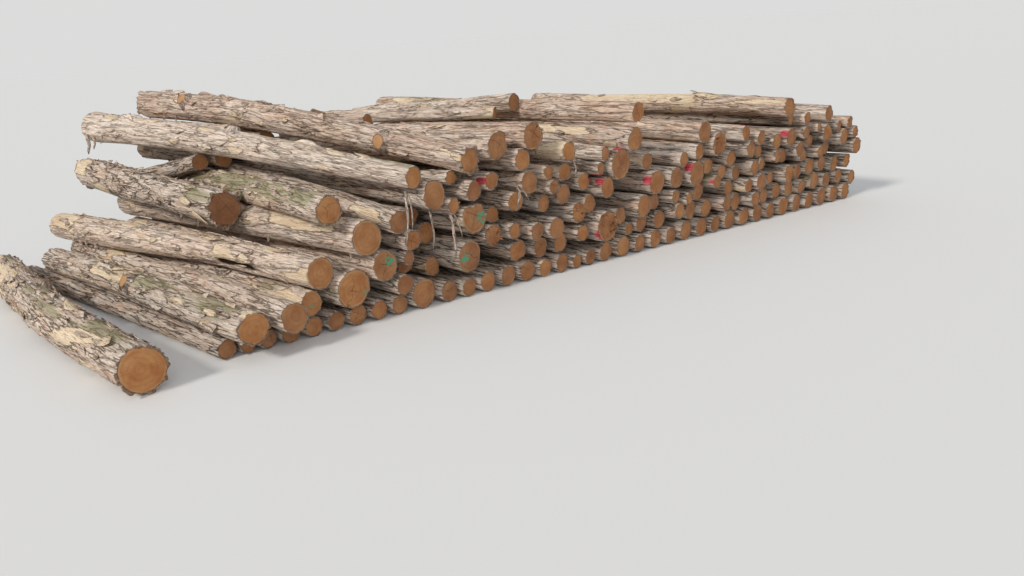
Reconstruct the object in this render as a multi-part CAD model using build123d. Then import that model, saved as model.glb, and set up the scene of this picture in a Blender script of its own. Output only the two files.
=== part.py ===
from build123d import *
import math
import os

import numpy as np

# Heap of crooked sawn logs, lying one on another on a level floor.
# Sizes in millimetres and degrees.  X runs along the face of sawn ends, Y runs
# from that face towards the back of the heap, Z is up.

# Sizes that hold for the whole heap
CORNERS = 12            # corners of a log's section
SPANS = 3               # straight lengths that follow a log's crook
LONG_SPANS = 7          # the same for logs that show over their whole length
HIDDEN_CORNERS = 10     # the same for logs that lie under the others
HIDDEN_SPANS = 2
SEAT_GAP = 0.3          # air left where one log lies on another
OVAL = 0.035            # how far a section is from round, share of its radius
OVAL_TURN = 1.7         # radians by which each next log's oval is turned
THREE_SIDED = 0.015     # share of the radius by which a section is three-sided
THREE_SIDED_TURN = 2.3  # radians by which each next log's three sides are turned
CROOK = 9.0             # how far a log wanders to either side of its bow
CROOK_SIDE = 7.0        # radians of its sideways wave from end to end
CROOK_SIDE_TURN = 1.3   # how far that wave is shifted on each next log
CROOK_UP = 6.0          # radians of its up and down wave from end to end
CROOK_UP_TURN = 2.6     # how far that wave is shifted on each next log
KNOTS = 0.03            # how much it swells and thins along its length
KNOTS_WAVE = 9.0        # radians of that wave from end to end
KNOTS_TURN = 1.9        # how far that wave is shifted on each next log
STUB_RISE = 24.0        # how far a branch stub stands out of the log
STUB_FLARE = 26.0       # how much wider a stub is at the log's middle
SIDE_PLAY = 40.0        # how far a log may roll sideways as it settles
SWING = 0.03            # degrees that it may swing for each millimetre of roll
GRIP = 0.12             # slope below which bark keeps it from rolling on
FINEST = 0.3            # smallest step in which it settles
LEAN_LEFT = 19.0        # how far logs lean to the left going back, left end
LEAN_RIGHT = 12.0       # the same at the right end of the row
ROW = 4900.0            # length of the row of front ends
BUTT = 1.07             # how much thicker the ground logs are at the back
GROUND_START = -300.0   # front end of the ground row's first log
GROUND_BACK = 40.0      # how far the ground row lies behind the face
GROUND_LENGTH = 2900.0  # length of the ground logs
GROUND_GAP = 0.3        # air between neighbours in the ground row
SPILLED_PLAY = 120.0    # how far either way the log that rolled off may be moved

# The ground row, side by side from the left: front diameters
GROUND_LEFT = [125, 100, 120, 135, 130, 130, 135, 132]
GROUND_MIDDLE = [130, 200, 146, 130, 144, 152, 150, 130, 140, 104, 120]
GROUND_RIGHT = [150, 160, 140, 150, 140, 160, 150]
GROUND_FAR = [140, 160, 150, 150, 140, 160, 150, 150, 160, 150, 150]

# The logs above it, from the floor up.  In each row: front end along the face,
# its set-back from the face, extra lean to the left going back, front and back
# diameter, length, sideways bow, upward bow
LOWER_LEFT = [
    (20, -140, 0, 184, 195, 2850, 0, 0),
    (170, 0, 0, 160, 170, 2900, 0, 0),
    (450, 0, 0, 236, 245, 2900, 0, 0),
]
LOWER_MIDDLE = [
    (810, 0, 0, 136, 145, 2850, 0, 0),
    (1020, 150, 0, 140, 150, 2900, 0, 0),
    (1180, 0, 0, 205, 215, 2900, 0, 0),
    (1360, 0, 0, 148, 160, 2850, 0, 0),
    (1610, 60, 0, 170, 180, 2900, 0, 0),
    (1780, 60, 0, 150, 160, 2900, 0, 0),
    (1920, 60, 0, 140, 150, 2900, 0, 0),
    (2050, 0, 0, 130, 140, 2900, 0, 0),
]
LOWER_RIGHT = [
    (2300, 0, 0, 240, 250, 2850, 0, 0),
    (2490, 60, 0, 100, 110, 2900, 0, 0),
    (2617, 70, 0, 140, 150, 2900, 0, 0),
    (2771, 60, 0, 150, 160, 2900, 0, 0),
    (2922, 0, 0, 132, 145, 2900, 0, 0),
    (3076, 60, 0, 150, 160, 2900, 0, 0),
    (3236, 60, 0, 150, 160, 2850, 0, 0),
    (3393, 0, 0, 140, 150, 2900, 0, 0),
]
LOWER_FAR = [
    (3548, 60, 0, 140, 150, 2900, 0, 0),
    (3702, 0, 0, 130, 140, 2900, 0, 0),
    (3856, 60, 0, 140, 150, 2900, 0, 0),
    (4005, 60, 0, 140, 150, 2900, 0, 0),
    (4155, 60, 0, 150, 160, 2850, 0, 0),
    (4308, 60, 0, 140, 150, 2900, 0, 0),
    (4460, 60, 0, 150, 160, 2900, 0, 0),
    (4615, 60, 0, 140, 150, 2900, 0, 0),
    (4765, 60, 0, 140, 150, 2900, 0, 0),
    (4915, 60, 0, 130, 140, 2900, 0, 0),
]
MIDDLE_LEFT = [
    (700, 0, 0, 196, 205, 2900, 0, 0),
]
MIDDLE_MIDDLE = [
    (900, 200, 0, 140, 150, 2900, 0, 0),
    (1070, 250, 0, 150, 160, 2900, 0, 0),
    (1290, 0, 0, 212, 220, 2900, 0, 0),
    (1540, 0, 0, 126, 135, 2900, 0, 0),
    (1700, 0, 0, 130, 140, 2850, 0, 0),
    (1860, 0, 0, 152, 160, 2900, 0, 0),
    (2090, 0, 0, 156, 165, 2900, 0, 0),
]
MIDDLE_RIGHT = [
    (2440, 60, 0, 130, 140, 2850, 0, 0),
    (2600, 0, 0, 168, 175, 2900, 0, 0),
    (2770, 60, 0, 130, 140, 2900, 0, 0),
    (2900, 0, 0, 116, 120, 2900, 0, 0),
    (3010, 0, 0, 102, 110, 2900, 0, 0),
    (3150, 60, 0, 140, 150, 2900, 0, 0),
    (3290, 0, 0, 120, 125, 2850, 0, 0),
]
MIDDLE_FAR = [
    (3470, 60, 0, 130, 140, 2900, 0, 0),
    (3620, 0, 0, 120, 130, 2900, 0, 0),
    (3780, 0, 0, 160, 170, 2900, 0, 0),
    (3930, 60, 0, 120, 130, 2900, 0, 0),
    (4080, 0, 0, 144, 155, 2850, 0, 0),
    (4230, 60, 0, 140, 150, 2900, 0, 0),
    (4380, 60, 0, 150, 160, 2900, 0, 0),
    (4530, 60, 0, 140, 150, 2900, 0, 0),
    (4690, 60, 0, 140, 150, 2900, 0, 0),
    (4840, 60, 0, 130, 140, 2900, 0, 0),
]
RAISED_LEFT = [
    (610, 0, 1, 220, 230, 2950, 0, 0),
]
RAISED_MIDDLE = [
    (870, 40, 0, 96, 110, 2900, 0, 0),
    (1000, 250, 0, 130, 140, 2850, 0, 0),
    (850, 0, 1, 142, 150, 2900, 0, 0),
    (1420, 80, 0, 120, 130, 2850, 0, 0),
    (1180, 0, 0, 110, 120, 2900, 0, 0),
    (1290, 0, 0, 136, 145, 2900, 0, 0),
    (1540, 0, 0, 140, 150, 2900, 0, 0),
    (1650, 0, 0, 158, 165, 2900, 0, 0),
    (1800, 80, 0, 130, 140, 2900, 0, 0),
    (1960, 60, 0, 140, 150, 2900, 0, 0),
    (2180, 60, 0, 140, 150, 2900, 0, 0),
]
RAISED_RIGHT = [
    (2270, 0, 1, 158, 165, 2900, 0, 0),
    (2390, 0, 0, 214, 220, 2900, 0, 0),
    (2730, 0, 1, 180, 190, 2900, 0, 0),
    (2890, 0, 0, 168, 175, 2850, 0, 0),
    (3110, 0, 0, 200, 210, 2900, 0, 0),
    (3270, 60, 0, 130, 140, 2900, 0, 0),
]
RAISED_FAR = [
    (3400, 60, 0, 130, 140, 2900, 0, 0),
    (3540, 60, 0, 130, 140, 2900, 0, 0),
    (3680, 0, 0, 130, 140, 2900, 0, 0),
    (3810, 60, 0, 120, 130, 2900, 0, 0),
    (3930, 0, 0, 118, 130, 2900, 0, 0),
    (4050, 60, 0, 120, 130, 2900, 0, 0),
    (4180, 0, 0, 130, 140, 2850, 0, 0),
    (4310, 60, 0, 120, 130, 2900, 0, 0),
    (4430, 0, 0, 114, 125, 2900, 0, 0),
    (4560, 60, 0, 120, 130, 2900, 0, 0),
    (4710, 0, 0, 150, 155, 2900, 0, 0),
    (4880, 0, 0, 150, 155, 2900, 0, 0),
]
UPPER_MIDDLE = [
    (740, 0, 0, 160, 170, 2850, 0, 0),
    (1210, 60, 0, 100, 110, 2900, 0, 0),
    (1060, 0, 0, 190, 200, 2900, 10, 0),
    (1840, 0, 0, 110, 120, 2850, 0, 0),
    (2010, 60, 0, 140, 150, 2900, 0, 0),
    (2170, 60, 0, 130, 140, 2900, 0, 0),
]
UPPER_RIGHT = [
    (2300, 0, 0, 100, 110, 2900, 0, 0),
    (2520, 0, 0, 174, 180, 2900, 10, 0),
    (2670, 60, 0, 130, 140, 2850, 0, 0),
    (3000, 0, 0, 122, 130, 2900, 0, 0),
    (3150, 0, 0, 124, 135, 2900, 0, 0),
    (3310, 0, 1, 182, 190, 2900, 0, 0),
]
UPPER_FAR = [
    (3490, 60, 0, 130, 140, 2900, 0, 0),
    (3640, 0, 0, 148, 155, 2900, 0, 0),
    (3780, 60, 0, 110, 120, 2850, 0, 0),
    (3920, 0, 0, 132, 140, 2850, 0, 0),
    (4090, 0, 1, 162, 170, 2900, 0, 0),
    (4130, 60, 0, 100, 110, 2900, 0, 0),
    (4250, 0, 0, 110, 120, 2900, 0, 0),
    (4370, 60, 0, 110, 120, 2900, 0, 0),
    (4500, 0, 0, 150, 155, 2900, 0, 0),
    (4650, 0, 0, 98, 110, 2900, 0, 0),
    (4860, 0, 0, 108, 120, 2900, 0, 0),
]
TOP_MIDDLE = [
    (1380, 0, 0, 128, 140, 2850, 10, 0),
    (1690, 0, 0, 146, 155, 2900, 0, 0),
    (1830, 0, 0, 100, 110, 2900, 0, 0),
    (1520, 0, 0, 198, 205, 2900, 10, 0),
    (1700, 0, 1, 186, 195, 2900, 10, 0),
    (2010, 0, 1, 138, 150, 2900, 20, 0),
]
TOP_RIGHT = [
    (2310, 0, 0, 110, 120, 2850, 10, 0),
    (2590, 0, 0, 148, 160, 2900, 10, 0),
    (3240, 0, 1, 166, 175, 2900, 10, 0),
]
TOP_FAR = [
    (3660, 0, 0, 128, 135, 2900, 10, 0),
    (3790, 0, -1, 122, 130, 2850, 0, 0),
    (4250, 0, -1, 112, 120, 2900, 10, 0),
    (4440, 0, 0, 80, 90, 2900, 0, 0),
    (4540, 0, 0, 144, 150, 2900, 0, 0),
    (4770, 0, 0, 98, 110, 2900, 0, 0),
]

# Branch stubs: share of the log's length, turn up from its right side, width
STUBS = {
    "knobbly_log": [(0.2, 168, 96), (0.82, 140, 88)],
    "bare_patched_log": [(0.5, 142, 84)],
    "long_log": [(0.5, 62, 80)],
    "spilled_log": [(0.62, 58, 90)],
}

# Short logs at the back that lift the far ends of the long ones
BACK_LOW = [
    (30, 1750, 0, 140, 150, 1200, 0, 0),
    (200, 1750, 0, 150, 160, 1200, 0, 0),
    (370, 1750, 0, 140, 150, 1200, 0, 0),
]
BACK_HIGH = [
    (290, 1800, 0, 150, 160, 1150, 0, 0),
    (460, 1800, 0, 150, 160, 1150, 0, 0),
    (620, 1800, 0, 150, 160, 1150, 0, 0),
]

# Logs that stand out, in the same order of numbers
SPILLED = (-740, -160, -6.3, 270, 270, 2900, -60, 0)
BARE_LOG = (-210, -150, -0.5, 190, 195, 2800, 10, 0)
PALE_LOG = (250, 0, 7, 198, 220, 2850, 20, 10)
JAGGED_LOG = (20, 1000, -2, 250, 250, 2150, 0, 0)
MOSSY_LOG = (370, 0, -8, 174, 200, 2850, 30, 40)
LONG_LOG = (940, 0, 8, 152, 240, 3300, 20, 20)
KNOBBLY_LOG = (1270, 0, 9, 176, 240, 3350, 40, 40)
SMOOTH_LOG = (4120, 0, -3, 164, 180, 2850, 20, 10)
TWISTED_LOG = (1240, 1500, 14, 126, 140, 1700, -70, -40)
THIN_LOG = (2030, 1000, 28, 100, 130, 2250, 30, 0)
SHORT_LOG = (2240, 1000, 3, 136, 150, 1950, 10, 0)


class Log:
    """One crooked, tapering log as rings of corners, front end first.

    Its own frame runs to the log's right, along it and up.
    """

    def __init__(self, row, number, corners, spans, uneven=1.0):
        x, y, extra, front, back, length, bow, hump = row
        self.lean = LEAN_LEFT + (LEAN_RIGHT - LEAN_LEFT) * x / ROW + extra
        self.start = np.array([float(x), float(y)])
        turn = 2 * math.pi * (np.arange(corners) + 0.5) / corners
        swell = OVAL * np.cos(2 * turn + OVAL_TURN * number)
        swell += THREE_SIDED * np.cos(3 * turn + THREE_SIDED_TURN * number)
        swell = 1 + uneven * swell
        rings = []
        for i in range(spans + 1):
            share = i / spans
            arch = 4 * share * (1 - share)
            knot = 1 + uneven * KNOTS * math.sin(KNOTS_WAVE * share + KNOTS_TURN * number)
            radius = (front + (back - front) * share) / 2 * knot
            wander = uneven * CROOK * arch
            side = bow * arch + wander * math.sin(CROOK_SIDE * share + CROOK_SIDE_TURN * number)
            up = hump * arch + wander * math.cos(CROOK_UP * share + CROOK_UP_TURN * number)
            side = side + radius * swell * np.cos(turn)
            up = up + radius * swell * np.sin(turn)
            along = np.full(corners, share * length)
            rings.append(np.stack([side, along, up], axis=1))
        self.rings = np.array(rings)
        self.under = skin(self.rings, False)
        self.low = self.rings.min(axis=(0, 1))
        self.high = self.rings.max(axis=(0, 1))
        taper = (front * front + 2 * front * back + 3 * back * back)
        self.middle = length * taper / 4 / (front * front + front * back + back * back)
        self.aim(0.0, 0.0)

    def aim(self, roll, swing):
        """Move the log sideways by roll and swing its back end by some degrees."""
        self.roll, self.swing = roll, swing
        away = math.radians(self.lean + swing)
        self.ahead = np.array([-math.sin(away), math.cos(away)])
        self.aside = np.array([math.cos(away), math.sin(away)])
        self.origin = self.start + np.array([roll, 0.0])

    def into(self, points):
        """The points of the heap in the log's own frame."""
        off = points[..., :2] - self.origin
        return np.stack([off @ self.aside, off @ self.ahead, points[..., 2]], axis=-1)

    def corners(self, base, slope):
        """Every corner in the heap, with the log lifted to its rest."""
        flat = self.rings[..., :1] * self.aside + self.rings[..., 1:2] * self.ahead
        height = self.rings[..., 2:] + base + slope * self.rings[..., 1:2]
        return np.concatenate([flat + self.origin, height], axis=2)


def skin(rings, upward):
    """Faces, corners and edges of a log's upper or lower side."""
    after = np.roll(rings, -1, axis=1)
    quads = np.stack([rings[:-1], after[:-1], after[1:], rings[1:]], axis=2)
    first = quads[:, :, 1, :2] - quads[:, :, 0, :2]
    last = quads[:, :, 3, :2] - quads[:, :, 0, :2]
    area = first[..., 0] * last[..., 1] - first[..., 1] * last[..., 0]
    keep = area < -1.0 if upward else area > 1.0
    none = np.zeros((1, rings.shape[1]), bool)
    across = np.concatenate([keep, none]) | np.concatenate([none, keep])
    lengthwise = keep | np.roll(keep, 1, axis=1)
    spots = rings[across | np.roll(across, 1, axis=1)]
    round_edges = np.stack([rings, after], axis=2)[across]
    long_edges = np.stack([rings[:-1], rings[1:]], axis=2)[lengthwise]
    kept = quads[keep]
    if upward:
        kept = kept[:, ::-1]
    return kept, spots, np.concatenate([round_edges, long_edges])


def heights_on(quads, spots):
    """Height of the faces at the spots that lie inside them, as spot, height."""
    corner = quads[None, :, :, :2]
    edge = np.roll(corner, -1, axis=2) - corner
    to = spots[:, None, None, :2] - corner
    inside = (edge[..., 0] * to[..., 1] - edge[..., 1] * to[..., 0] >= -1e-6).all(2)
    spot, face = np.nonzero(inside)
    one = quads[face, 1] - quads[face, 0]
    two = quads[face, 3] - quads[face, 0]
    normal = np.cross(one, two)
    off = spots[spot, :2] - quads[face, 0, :2]
    rise = (normal[:, 0] * off[:, 0] + normal[:, 1] * off[:, 1]) / normal[:, 2]
    return spot, quads[face, 0, 2] - rise


def crossings(lower, upper):
    """Plan crossings of two sets of edges, with the height on each."""
    a, ab = lower[:, None, 0], lower[:, None, 1] - lower[:, None, 0]
    c, cd = upper[None, :, 0], upper[None, :, 1] - upper[None, :, 0]
    ac = c - a
    cross = ab[..., 0] * cd[..., 1] - ab[..., 1] * cd[..., 0]
    safe = np.where(np.abs(cross) < 1e-9, 1e-9, cross)
    s = (ac[..., 0] * cd[..., 1] - ac[..., 1] * cd[..., 0]) / safe
    t = (ac[..., 0] * ab[..., 1] - ac[..., 1] * ab[..., 0]) / safe
    i, j = np.nonzero((s >= 0) & (s <= 1) & (t >= 0) & (t <= 1))
    under = lower[i, 0] + (lower[i, 1] - lower[i, 0]) * s[i, j][:, None]
    over = upper[j, 0] + (upper[j, 1] - upper[j, 0]) * t[i, j][:, None]
    return under, over


def rest(log, heap):
    """Lowest height and slope at which the log clears the floor and the heap.

    Every need is a height at a place along the log; the log comes to lie on two
    of them, one on either side of its centre of weight.
    """
    quads, spots, edges = log.under
    where = [spots[:, 1]]
    need = [-spots[:, 2]]
    if heap is not None:
        near = []
        for things in heap:
            own = log.into(things)
            flat = own if own.ndim == 3 else own[:, None]
            reach = (flat[..., :2].max(1) > log.low[:2]).all(1)
            near.append(own[reach & (flat[..., :2].min(1) < log.high[:2]).all(1)])
        spot, level = heights_on(near[0], spots)
        where.append(spots[spot, 1])
        need.append(level + SEAT_GAP - spots[spot, 2])
        spot, level = heights_on(quads, near[1])
        where.append(near[1][spot, 1])
        need.append(near[1][spot, 2] + SEAT_GAP - level)
        under, over = crossings(near[2], edges)
        where.append(over[:, 1])
        need.append(under[:, 2] + SEAT_GAP - over[:, 2])
    arm = np.concatenate(where) - log.middle
    need = np.concatenate(need)
    left = arm < -1.0
    right = arm > 1.0
    a0, n0 = arm[left][:, None], need[left][:, None]
    a1, n1 = arm[right][None, :], need[right][None, :]
    level = np.max((n0 * a1 - n1 * a0) / (a1 - a0))
    level = max(level, np.max(need[~left & ~right], initial=level))
    steepest = np.min((n0 - level) / a0)
    flattest = np.max((n1 - level) / a1)
    slope = min(max(0.0, flattest), steepest)
    return level, level - slope * log.middle, slope


def settle(log, heap, play):
    """Roll and swing a log on the heap until it lies as low as it can."""
    best = rest(log, heap)
    step = play / 2
    while step > FINEST:
        tries = [(step, 0), (-step, 0), (0, step * SWING), (0, -step * SWING)]
        for roll, swing in tries:
            while True:
                at = (log.roll, log.swing)
                log.aim(at[0] + roll, at[1] + swing)
                trial = rest(log, heap)
                inside = abs(log.roll) <= play and abs(log.swing) <= play * SWING
                if not inside or trial[0] > best[0] - GRIP * step:
                    log.aim(*at)
                    break
                best = trial
        step = step / 2
    return best


def press(log, heap, free, stopped):
    """Slide a log along the floor from a free place until another stops it."""
    floor = rest(log, None)[0]
    ahead = math.copysign(SEAT_GAP, free - stopped)
    while abs(free - stopped) > SEAT_GAP / 4:
        half = (free + stopped) / 2
        log.aim(half, 0.0)
        if rest(log, heap)[0] > floor + 0.01:
            stopped = half
        else:
            free = half
    log.aim(free + ahead, 0.0)
    return rest(log, heap)


def grown(log, heap, place):
    """Fix a log at its place and add its upper side to the heap."""
    log.full = log.corners(place[1], place[2])
    top = skin(log.full, True)
    if heap is None:
        return top
    return [np.concatenate(pair) for pair in zip(heap, top)]


def solid(log, centre):
    """A solid with flat faces from a log's rings of corners."""
    rings = log.full - centre
    faces = []
    spans, corners = rings.shape[0] - 1, rings.shape[1]
    for i in range(spans):
        for j in range(corners):
            k = (j + 1) % corners
            loop = [rings[i, j], rings[i, k], rings[i + 1, k], rings[i + 1, j]]
            faces.append(flat_face(loop))
    faces.append(flat_face(list(rings[0])))
    faces.append(flat_face(list(rings[-1])))
    return Solid(Shell(faces))


def stub(log, centre, share, turn, width):
    """What a sawn-off branch leaves: a short taper that flares into the log."""
    span = share * (len(log.full) - 1)
    before = int(span)
    middles = log.full.mean(axis=1) - centre
    middle = middles[before] + (middles[before + 1] - middles[before]) * (span - before)
    ring = log.full[before] - centre
    height = float(np.linalg.norm(ring - middles[before], axis=1).mean()) + STUB_RISE
    out = log.aside * math.cos(math.radians(turn))
    away = Vector(float(out[0]), float(out[1]), math.sin(math.radians(turn)))
    seat = Plane(origin=Vector(*[float(v) for v in middle]), z_dir=away)
    wide = seat * RegularPolygon(width / 2 + STUB_FLARE, CORNERS)
    sawn = seat.offset(height) * RegularPolygon(width / 2, CORNERS)
    return loft([wide.face(), sawn.face()], ruled=True)


def flat_face(loop):
    """A flat face inside a loop of corners."""
    points = [Vector(*[float(v) for v in p]) for p in loop]
    return Face(Wire.make_polygon(points, close=True))


HIDDEN = (HIDDEN_CORNERS, HIDDEN_SPANS)
SEEN = (CORNERS, SPANS)
WHOLE = (CORNERS, LONG_SPANS)
STRAIGHT = (CORNERS, 1, 0.0)


def ground_row(groups):
    """Rows of a bottom course, each log against the one to its left.

    These logs are even in section and have a flat face at each side, where
    they touch.
    """
    x = GROUND_START
    last = None
    rows = []
    for diameters in groups:
        rows.append([])
        for front in diameters:
            if last is not None:
                lean = LEAN_LEFT + (LEAN_RIGHT - LEAN_LEFT) * x / ROW
                apart = (last + front) / 2 * math.cos(math.pi / CORNERS) + GROUND_GAP
                x += apart / math.cos(math.radians(lean))
            last = front
            rows[-1].append((x, GROUND_BACK, 0, front, front * BUTT, GROUND_LENGTH, 0, 0))
    return rows


GROUND = ground_row([GROUND_LEFT, GROUND_MIDDLE, GROUND_RIGHT, GROUND_FAR])
# node name, its logs, section detail, sideways play; in the order of settling
ORDER = [
    ("ground_logs_left", GROUND[0], STRAIGHT, 0),
    ("ground_logs_middle", GROUND[1], STRAIGHT, 0),
    ("ground_logs_right", GROUND[2], STRAIGHT, 0),
    ("ground_logs_far", GROUND[3], STRAIGHT, 0),
    ("bare_patched_log", [BARE_LOG], WHOLE, SIDE_PLAY),
    ("lower_logs_left", LOWER_LEFT, SEEN, SIDE_PLAY),
    ("lower_logs_middle", LOWER_MIDDLE, SEEN, SIDE_PLAY),
    ("lower_logs_right", LOWER_RIGHT, HIDDEN, SIDE_PLAY),
    ("lower_logs_far", LOWER_FAR, HIDDEN, SIDE_PLAY),
    ("pale_ended_log", [PALE_LOG], WHOLE, SIDE_PLAY),
    ("middle_logs_left", MIDDLE_LEFT, SEEN, SIDE_PLAY),
    ("middle_logs_middle", MIDDLE_MIDDLE, SEEN, SIDE_PLAY),
    ("middle_logs_right", MIDDLE_RIGHT, HIDDEN, SIDE_PLAY),
    ("middle_logs_far", MIDDLE_FAR, HIDDEN, SIDE_PLAY),
    ("raised_logs_left", RAISED_LEFT, SEEN, SIDE_PLAY),
    ("raised_logs_middle", RAISED_MIDDLE, SEEN, SIDE_PLAY),
    ("raised_logs_right", RAISED_RIGHT, SEEN, SIDE_PLAY),
    ("raised_logs_far", RAISED_FAR, HIDDEN, SIDE_PLAY),
    ("jagged_bark_log", [JAGGED_LOG], WHOLE, SIDE_PLAY),
    ("mossy_log", [MOSSY_LOG], WHOLE, SIDE_PLAY),
    ("upper_logs_middle", UPPER_MIDDLE, SEEN, SIDE_PLAY),
    ("upper_logs_right", UPPER_RIGHT, SEEN, SIDE_PLAY),
    ("upper_logs_far", UPPER_FAR, SEEN, SIDE_PLAY),
    ("back_logs_low", BACK_LOW, HIDDEN, SIDE_PLAY),
    ("long_log", [LONG_LOG], WHOLE, SIDE_PLAY),
    ("back_logs_high", BACK_HIGH, HIDDEN, SIDE_PLAY),
    ("top_logs_middle", TOP_MIDDLE, SEEN, SIDE_PLAY),
    ("top_logs_right", TOP_RIGHT, SEEN, SIDE_PLAY),
    ("top_logs_far", TOP_FAR, SEEN, SIDE_PLAY),
    ("knobbly_log", [KNOBBLY_LOG], WHOLE, SIDE_PLAY),
    ("smooth_log", [SMOOTH_LOG], WHOLE, SIDE_PLAY),
    ("short_log", [SHORT_LOG], WHOLE, SIDE_PLAY),
    ("thin_log", [THIN_LOG], WHOLE, SIDE_PLAY),
    ("twisted_log", [TWISTED_LOG], WHOLE, SIDE_PLAY),
]

heap = None
nodes = {}
placed = []
for name, rows, detail, play in ORDER:
    nodes[name] = []
    for row in rows:
        log = Log(row, len(placed), *detail)
        heap = grown(log, heap, settle(log, heap, play))
        nodes[name].append(log)
        placed.append(log)

# the log that rolled off lies against the ground row from its left
log = Log(SPILLED, len(placed), *WHOLE)
heap = grown(log, heap, press(log, heap, -SPILLED_PLAY, SPILLED_PLAY))
nodes["spilled_log"] = [log]
placed.append(log)

# the origin is the middle of the heap's outline, on the floor
low = np.min([log.full.min(axis=(0, 1)) for log in placed], axis=0)
high = np.max([log.full.max(axis=(0, 1)) for log in placed], axis=0)
centre = np.array([(low[0] + high[0]) / 2, (low[1] + high[1]) / 2, 0.0])

os.makedirs("parts", exist_ok=True)
for name, logs in nodes.items():
    shape = Compound(children=[solid(log, centre) for log in logs])
    if len(logs) == 1:
        shape = solid(logs[0], centre)
    for place in STUBS.get(name, []):
        shape = shape + stub(logs[0], centre, *place)
    export_step(shape, "parts/" + name + ".step")
print("logs", len(placed), "low", low.round(1), "high", high.round(1))
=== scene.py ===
import math
from collections import namedtuple

import bpy
import numpy as np
from mathutils import Matrix, Vector


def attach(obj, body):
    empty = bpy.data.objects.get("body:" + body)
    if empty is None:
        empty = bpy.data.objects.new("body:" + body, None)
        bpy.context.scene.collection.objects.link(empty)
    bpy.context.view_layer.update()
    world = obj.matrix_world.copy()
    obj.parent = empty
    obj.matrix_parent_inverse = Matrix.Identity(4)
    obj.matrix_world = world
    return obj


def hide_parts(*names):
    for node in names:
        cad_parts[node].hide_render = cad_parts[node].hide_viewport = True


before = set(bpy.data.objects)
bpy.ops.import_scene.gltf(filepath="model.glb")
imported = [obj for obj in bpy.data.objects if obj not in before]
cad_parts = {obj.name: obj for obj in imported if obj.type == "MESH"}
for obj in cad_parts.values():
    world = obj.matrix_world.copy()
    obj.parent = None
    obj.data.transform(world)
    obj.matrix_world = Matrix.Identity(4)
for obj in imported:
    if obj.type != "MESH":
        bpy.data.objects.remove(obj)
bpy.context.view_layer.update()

# Sizes in metres.  X runs along the face of sawn ends, Y towards the back, Z up.
BARK = 0.007            # thickness of the bark that rings a sawn end
FURROW = 0.0055         # depth of the bark's furrows in the mesh
SHAG = 0.006            # slow lumps along a log
RIPPLE = 0.0007         # unevenness of a sawn end and of bare wood
FLAKE = 0.0016          # half the thickness of a loose flake of bark
HOLLOW = 0.022          # depth of a rotten hollow
RIM_STEP = 0.0006       # step between the wood and the bark at a sawn end
ROOT = 0.003            # how much deeper the fast edge of a flake lies than its free one
BREAK = 0.012           # unevenness of an end that broke
LONG_TEETH = 0.012      # rims of torn bark that reach further than this are thicker

CIRCLE = 2 * math.pi
UP = np.array([0.0, 0.0, 1.0])
WOOD = 0.9              # points whose "sawn" value is above this are sawn wood

# How the frame's meshes are read: corners merge on a grid of 1 / WELD metres; a
# log's sections lie further apart than SECTION_GAP and have SECTION_CORNERS or more
WELD = 1e5
SECTION_GAP = 0.0004
SECTION_CORNERS = 9
COARSE_GAP = 0.02       # sections closer than this count as one in the first look

# Cells of noise in a metre, across a log twice and along it
WIDE_FURROWS = (48, 48, 7)
NARROW_FURROWS = (95, 95, 16)
LUMPS = (9, 9, 3.1)
PLATES = (16, 16, 2.3)
TEARS = (8, 8, 2.6)
TEAR_EDGES = (30, 30, 6)
DAMPNESS = (5, 5, 2)
RIPPLES = (60, 60, 4)

# Detail of each log's skin: stations along it and steps round it
FINE = (84, 64)
MEDIUM = (44, 40)
PLAIN = (20, 26)
DETAIL = {
    "spilled_log": (100, 84), "bare_patched_log": FINE, "pale_ended_log": FINE,
    "jagged_bark_log": FINE, "mossy_log": FINE, "long_log": FINE,
    "knobbly_log": FINE, "twisted_log": FINE, "thin_log": FINE,
    "short_log": FINE, "smooth_log": FINE, "lower_logs_left": FINE,
    "middle_logs_left": FINE, "raised_logs_left": FINE,
    "raised_logs_middle": MEDIUM, "raised_logs_right": MEDIUM,
    "upper_logs_middle": MEDIUM, "upper_logs_right": MEDIUM,
    "upper_logs_far": MEDIUM, "top_logs_middle": FINE,
    "top_logs_right": FINE, "top_logs_far": MEDIUM,
    "middle_logs_middle": MEDIUM, "lower_logs_middle": MEDIUM,
    "back_logs_high": MEDIUM, "ground_logs_left": MEDIUM,
}

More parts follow.
